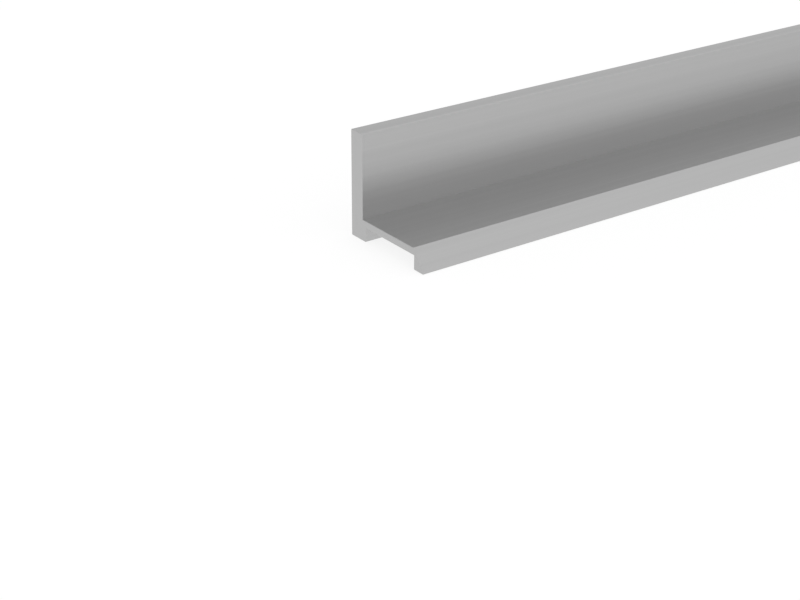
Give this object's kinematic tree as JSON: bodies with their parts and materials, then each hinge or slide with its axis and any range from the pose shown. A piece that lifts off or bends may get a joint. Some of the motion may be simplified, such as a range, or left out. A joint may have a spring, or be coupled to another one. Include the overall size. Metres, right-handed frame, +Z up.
{
  "type": "aluminium extrusion profile",
  "caption": "Straight aluminium extrusion with a thick upright leg, a thin web and a slant-fronted lip over an open underside channel, sawn square as bar stock.",
  "frame": {"origin": "on the floor, at the middle of the bar's length and width", "axes": "+X along the bar, away from the end that the picture shows; +Y from the lip to the back of the leg; +Z up"},
  "size_m": [1, 0.032, 0.03],
  "materials": {
    "aluminium": "satin, with fine die lines along the length and sawn ends"
  },
  "bodies": {
    "root": {"profile": "aluminium"}
  },
  "joints": []
}
